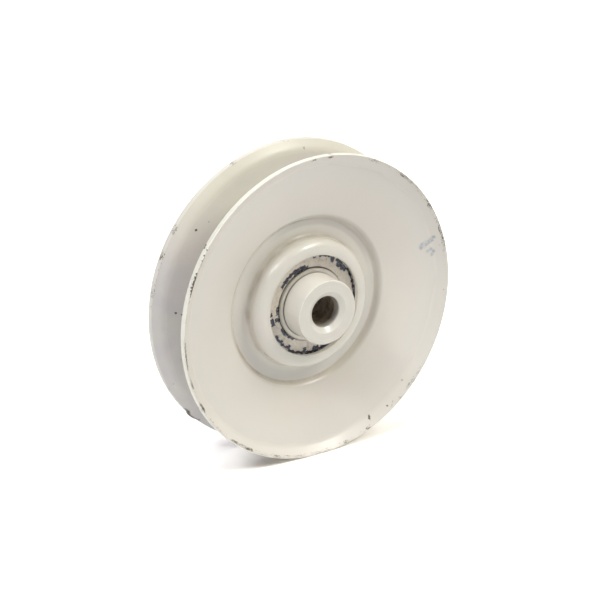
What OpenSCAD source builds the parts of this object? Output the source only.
// Flat-web V-belt idler pulley: two pressed sheet-steel flanges welded back to
// back round a sealed deep-groove ball bearing, with a spacer bush pressed into
// the inner ring from each side.
//
// Frame: the spin axis lies along Y, the front bush points to -Y and +Z is up.
// The origin is the centre of the bearing. Sections are drawn as [radius,
// height above the mid-plane] and turned about the axis.

/* [Flanges] */
// Diameter over the rims
pulley_d = 101.6; // [99:0.2:106]
// Width across the two rims
rim_w = 21.6; // [20.6:0.2:24]
// Thickness of the pressed sheet
sheet_t = 1.6; // [1.4:0.1:1.8]
// Diameter of the opening that shows the seal
lip_d = 33.6; // [32:0.2:34]
// Inside bend radius where the cup turns in over the bearing
cup_bend = 0.9; // [0.6:0.1:1]
// Outside bend radius there; the sheet is thinner at the bend, as drawn sheet is
cup_round = 3.4; // [2.6:0.1:3.8]
// Bend radius at the foot of the cup, on the visible side
foot_bend = 1.5; // [1:0.1:2]
// Diameter of the crease where the flat web turns up into the step
web_d = 54.6; // [53:0.2:56]
// Rise of the step above the web
step_h = 1.7; // [1.4:0.1:2]
// Slope of the step
step_a = 50; // [40:1:52]
// Bend radius in the crease at the bottom of the step
crease_bend = 0.8; // [0.6:0.1:1.2]
// Bend radius at the top of the step
step_bend = 2.5; // [2:0.1:2.8]
// Diameter where the belt face turns into the flared rim
flare_d = 94.8; // [92:0.2:96]
// Height of that turn above the mid-plane, on the visible side
flare_h = 8.2; // [7.6:0.1:8.6]
// Bend radius at the flare
flare_bend = 4; // [2:0.5:5]
// Edge rounding of the trimmed sheet
edge_r = 0.25; // [0.15:0.05:0.3]

/* [Bearing] */
// Bore of the inner ring
ring_bore = 17; // [16:0.5:17]
// Outside diameter of the outer ring
ring_od = 40; // [40:0.5:41]
// Width of both rings
ring_w = 12; // [12:0.5:13]
// Corner rounding of the outer ring
ring_corner = 1.05; // [1:0.05:1.2]
// Shoulder diameter of the inner ring
shoulder_d = 24.5; // [24:0.1:24.8]
// Land diameter of the outer ring
land_d = 32.8; // [32.6:0.1:33.2]
// Diameter of the seal seat in the outer ring
seat_d = 35; // [34.8:0.1:35.2]
// Diameter of each ball
ball_d = 6.747; // [6.6:0.001:6.75]
// Diameter of the circle through the ball centres
pitch_d = 28.5; // [28.4:0.01:28.6]
// Gap between a ball and the bottom of its raceway
ball_gap = 0.02; // [0.01:0.01:0.05]

/* [Cage] */
// Thickness of the cage ribbon
cage_t = 0.6; // [0.4:0.05:0.7]
// Radial width of the cage ribbon
cage_w = 2.7; // [2:0.1:2.9]
// Gap between a ball and its pocket
pocket_gap = 0.08; // [0.05:0.01:0.12]
// Shank diameter of the cage rivets
rivet_d = 1; // [0.8:0.1:1.1]
// Head diameter of the cage rivets
rivet_head_d = 1.7; // [1.4:0.1:1.8]

/* [Seals] */
// Height of the seal's outer face above the mid-plane
seal_h = 5.35; // [5.2:0.05:5.45]
// Thickness of the rubber over the steel insert
skin_t = 0.25; // [0.2:0.05:0.35]
// Thickness of the steel insert
insert_t = 0.3; // [0.2:0.05:0.35]
// Gap between the visible edge of the seal and the inner ring
seal_gap = 0.25; // [0.15:0.05:0.35]

/* [Bushes] */
// Overall length over the two bushes
bush_len = 30; // [26:0.5:40]
// Diameter of the part that stands proud
bush_d = 21.4; // [20.5:0.1:22.4]
// Bore for the mounting bolt
bush_bore = 10.5; // [9:0.1:12]
// Mouth diameter of the bore's chamfer
mouth_d = 13.9; // [13:0.1:15]
// Depth of the bore's chamfer
mouth_depth = 1.2; // [0.6:0.1:1.6]

/* [Hidden] */
$fn = 96;
arc_step = 7.5;  // largest angle between points on a rounded corner
spare = 1;       // how far a cutter runs past what it cuts
ball_count = 8;

half_w = ring_w / 2;
pitch_r = pitch_d / 2;
ball_r = ball_d / 2;
shoulder_r = shoulder_d / 2;
seat_r = seat_d / 2;
seat_h = 4.45;   // height of the seat's floor

paint = [0.86, 0.84, 0.80];
paint_rear = [0.80, 0.78, 0.73];
steel = [0.72, 0.73, 0.75];
cage_steel = [0.62, 0.60, 0.55];
rubber = [0.09, 0.10, 0.14];

// ---- section tools ----------------------------------------------------------

// Unit vector from one point to another
function dir(from, to) = (to - from) / norm(to - from);

// Normal on the right-hand side of the way from one point to another
function right_of(from, to) = let (way = dir(from, to)) [way[1], -way[0]];

// A vector turned by an angle
function turned(vec, angle) = [vec[0] * cos(angle) - vec[1] * sin(angle),
                               vec[0] * sin(angle) + vec[1] * cos(angle)];

// A list from its last entry to its first
function reversed(list) = [for (i = [len(list) - 1 : -1 : 0]) list[i]];

// A path reflected in the mid-plane and run backwards, to close a section
function mirrored(path) = [for (point = reversed(path)) [point[0], -point[1]]];

// Points that round the corner between the points before and after it
function bend(before, corner, after, radius) =
    radius <= 0 ? [corner] :
    let (back_way = dir(corner, before),
         on_way = dir(corner, after),
         half = acos(max(-1, min(1, back_way * on_way))) / 2,
         middle_way = (back_way + on_way) / norm(back_way + on_way),
         centre = corner + middle_way * radius / sin(half),
         start = corner + back_way * radius / tan(half) - centre,
         sweep = 180 - 2 * half,
         side = back_way[0] * on_way[1] - back_way[1] * on_way[0] > 0 ? -1 : 1,
         steps = max(2, ceil(sweep / arc_step)))
    [for (i = [0 : steps]) centre + turned(start, side * sweep * i / steps)];

// A closed outline with a radius at each corner
function rounded(points, radii) = let (count = len(points))
    [for (i = [0 : count - 1])
        each bend(points[(i + count - 1) % count], points[i],
                  points[(i + 1) % count], radii[i])];

// A path moved to its right by a distance, with its corners kept
function beside(path, distance) = let (last = len(path) - 1)
    [for (i = [0 : last])
        let (arriving = right_of(path[max(i, 1) - 1], path[max(i, 1)]),
             leaving = i == last ? arriving : right_of(path[i], path[i + 1]))
        path[i] + (arriving + leaving) * distance / (1 + arriving * leaving)];

// A section turned about the spin axis. Its height runs to the front.
module turn() { rotate([90, 0, 0]) rotate_extrude() children(); }

// The same part on the rear side
module on_rear() { mirror([0, 1, 0]) children(); }

// Places on the pitch circle, in ball spacings from the top, anticlockwise as
// seen from the front
at_balls = [0 : ball_count - 1];
between_balls = [0.5 : ball_count - 0.5];

// A child at each of the given places
module at_pitch(places) {
    for (place = places)
        rotate([0, -(place * 360 / ball_count + 90), 0])
            translate([pitch_r, 0, 0]) children();
}

// ---- flanges ----------------------------------------------------------------

cup_r = ring_od / 2 + sheet_t;
cup_h = half_w + sheet_t;
step_run = step_h / tan(step_a);
rim_r = pulley_d / 2;
flare_run = rim_r - flare_d / 2;
hidden_edge_r = edge_r * 0.8;  // rounding of the opening on the hidden side
min_bend = 0.3;                // smallest hidden bend at the top of the step

// The rim's cut edge runs parallel to the spin axis, which leaves an acute
// corner. The corner is drawn beyond the stated width, so that its rounding
// comes back to about that width.
first_flare_a = atan((rim_w / 2 - flare_h) / flare_run);
rim_h = rim_w / 2 + edge_r * (1 / tan((90 - first_flare_a) / 2) - 1);
flare_a = atan((rim_h - flare_h) / flare_run);

// Visible side of one flange, away from the mid-plane, from opening to rim
face = [[lip_d / 2, cup_h],
        [cup_r, cup_h],
        [cup_r, sheet_t],
        [web_d / 2, sheet_t],
        [web_d / 2 + step_run, sheet_t + step_h],
        [flare_d / 2, flare_h],
        [rim_r, rim_h]];
face_bends = [edge_r, cup_round, foot_bend, crease_bend, step_bend,
              flare_bend, edge_r];

// Hidden side of the same sheet, with its last point moved to the cut edge
face_beside = beside(face, sheet_t);
back = concat([for (i = [0 : len(face) - 2]) face_beside[i]],
              [[rim_r, rim_h - sheet_t / cos(flare_a)]]);
back_bends = [hidden_edge_r, cup_bend, foot_bend + sheet_t,
              crease_bend + sheet_t, max(min_bend, step_bend - sheet_t),
              flare_bend + sheet_t, edge_r];

module flange() {
    turn() polygon(rounded(concat(face, reversed(back)),
                           concat(face_bends, reversed(back_bends))));
}

module front_flange() { color(paint) flange(); }
module rear_flange() { color(paint_rear) on_rear() flange(); }

// ---- bearing ----------------------------------------------------------------

race_r = 0.515 * ball_d;    // the groove is slightly wider than the ball
land_r = land_d / 2;
land_edge = 0.05;           // bevel at the land's edge
seat_bevel = 0.25;          // bevel in the corner of the seal seat
retainer_reach = 0.35;      // how far the retaining lip stands in over the seat
retainer_drop = 0.2;        // start of the lip below the seal's face
retainer_rise = 0.12;       // tip of the lip above the seal's face
retainer_flare = 0.05;      // widening from the seat to the ring's face
bore_edge = 0.6;            // roundings of the inner ring
shoulder_edge = 0.35;

module bearing_outer_ring() {
    outer_r = ring_od / 2;
    // Front half: land, seal seat, retaining lip and outer corner
    front = concat(
        [[land_r, seat_h - land_edge],
         [land_r + land_edge, seat_h],
         [seat_r - seat_bevel, seat_h],
         [seat_r, seat_h + seat_bevel],
         [seat_r, seal_h - retainer_drop],
         [seat_r - retainer_reach, seal_h + retainer_rise],
         [seat_r + retainer_flare, half_w]],
        bend([seat_r, half_w], [outer_r, half_w], [outer_r, -half_w],
             ring_corner));
    color(steel) turn() difference() {
        polygon(concat(front, mirrored(front)));
        translate([pitch_r + ball_r + ball_gap - race_r, 0])
            circle(r = race_r);
    }
}

module bearing_inner_ring() {
    bore_r = ring_bore / 2;
    color(steel) turn() difference() {
        polygon(rounded([[bore_r, half_w], [shoulder_r, half_w],
                         [shoulder_r, -half_w], [bore_r, -half_w]],
                        [bore_edge, shoulder_edge, shoulder_edge, bore_edge]));
        translate([pitch_r - ball_r - ball_gap + race_r, 0])
            circle(r = race_r);
    }
}

// One ball, numbered from 1 at the top
module ball(number) {
    color(steel) at_pitch([number - 1]) rotate([90, 0, 0]) sphere(r = ball_r);
}

module ball_1() { ball(1); }
module ball_2() { ball(2); }
module ball_3() { ball(3); }
module ball_4() { ball(4); }
module ball_5() { ball(5); }
module ball_6() { ball(6); }
module ball_7() { ball(7); }
module ball_8() { ball(8); }

// ---- cage -------------------------------------------------------------------

pocket_r = ball_r + pocket_gap;
rivet_dome = 0.35;  // height of a rivet head

// All the ball pockets of the cage, or their outsides
module pockets(radius) {
    at_pitch(at_balls) rotate([90, 0, 0]) sphere(r = radius);
}

// A flat ring from the mid-plane towards the front
module band(inner_r, outer_r, height) {
    rotate([90, 0, 0]) difference() {
        cylinder(r = outer_r, h = height);
        translate([0, 0, -spare]) cylinder(r = inner_r, h = height + 2 * spare);
    }
}

// One half of the ribbon cage: a flat ring pressed out over each ball
module cage_half() {
    inner_r = pitch_r - cage_w / 2;
    outer_r = pitch_r + cage_w / 2;
    color(cage_steel) difference() {
        intersection() {
            union() {
                band(inner_r - spare, outer_r + spare, cage_t);
                pockets(pocket_r + cage_t);
            }
            band(inner_r, outer_r, pocket_r + 2 * cage_t);
        }
        pockets(pocket_r);
        at_pitch(between_balls) rotate([90, 0, 0])
            translate([0, 0, -spare])
                cylinder(d = rivet_d, h = cage_t + 2 * spare);
    }
}

module cage_front_half() { cage_half(); }
module cage_rear_half() { on_rear() cage_half(); }

// A rivet between each two balls, with a shank and two domed heads
module cage_rivets() {
    // Head outline: [share of the head's radius, share of the dome's height]
    dome = [[1, 0], [0.88, 0.5], [0.55, 0.85], [0, 1]];
    front = concat([[rivet_d / 2, cage_t]],
        [for (point = dome) [rivet_head_d / 2 * point[0],
                             cage_t + rivet_dome * point[1]]]);
    color(cage_steel) at_pitch(between_balls) turn()
        polygon(concat(mirrored(front), front));
}

// ---- seals ------------------------------------------------------------------

insert_bore_r = shoulder_r + 1.2;
insert_rim_r = seat_r - 0.6;
insert_h = seal_h - skin_t;         // outer face of the insert
insert_back = insert_h - insert_t;
seal_back = seat_h + 0.03;          // just clear of the seat's floor
bead_r = seat_r - 0.02;             // just clear of the seat's wall
bead_bevel = 0.24;
flat_r = insert_rim_r + 0.1;        // edge of the seal's flat face
lip_root = [insert_bore_r - 0.3, insert_back - 0.1];

// Sealing lip: [distance outside the shoulder, depth below the seal's face]
lip_points = [[0.35, 0.75], [0.05, 0.62], [0.05, 0.5],
              [seal_gap, 0.38], [seal_gap, 0.12], [seal_gap + 0.12, 0]];

// Rubber ring: bead in the seat, skin over the insert and a lip that runs just
// clear of the inner ring
module seal_rubber() {
    color(rubber) turn() polygon(concat(
        [for (point = lip_points) [shoulder_r + point[0], seal_h - point[1]]],
        [[flat_r, seal_h],
         [bead_r, seal_h - bead_bevel],
         [bead_r, seal_back + bead_bevel],
         [bead_r - bead_bevel, seal_back],
         [insert_rim_r, seal_back],
         [insert_rim_r, insert_h],
         [insert_bore_r, insert_h],
         [insert_bore_r, insert_back],
         lip_root]));
}

// Flat steel washer with its outer edge turned towards the mid-plane
module seal_insert() {
    color(steel) turn() polygon([
        [insert_bore_r, insert_back],
        [insert_bore_r, insert_h],
        [insert_rim_r, insert_h],
        [insert_rim_r, seal_back],
        [insert_rim_r - insert_t, seal_back],
        [insert_rim_r - insert_t, insert_back]]);
}

module front_seal_rubber() { seal_rubber(); }
module front_seal_insert() { seal_insert(); }
module rear_seal_rubber() { on_rear() seal_rubber(); }
module rear_seal_insert() { on_rear() seal_insert(); }

// ---- bushes -----------------------------------------------------------------

// Roundings of the bush
mouth_edge = 0.15;
end_edge = 0.35;
collar_edge = 0.2;
shank_edge = 0.3;

// Stepped bush: a shank in the inner ring and a collar that stands proud
module bush() {
    bore_r = bush_bore / 2;
    shank_r = ring_bore / 2;
    collar_r = bush_d / 2;
    end_h = bush_len / 2;
    color(paint) turn() polygon(rounded(
        [[bore_r, 0], [bore_r, end_h - mouth_depth], [mouth_d / 2, end_h],
         [collar_r, end_h], [collar_r, half_w], [shank_r, half_w],
         [shank_r, 0]],
        [0, 0, mouth_edge, end_edge, collar_edge, 0, shank_edge]));
}

module front_bush() { bush(); }
module rear_bush() { on_rear() bush(); }

front_flange();
rear_flange();
bearing_outer_ring();
bearing_inner_ring();
ball_1();
ball_2();
ball_3();
ball_4();
ball_5();
ball_6();
ball_7();
ball_8();
cage_front_half();
cage_rear_half();
cage_rivets();
front_seal_rubber();
front_seal_insert();
rear_seal_rubber();
rear_seal_insert();
front_bush();
rear_bush();
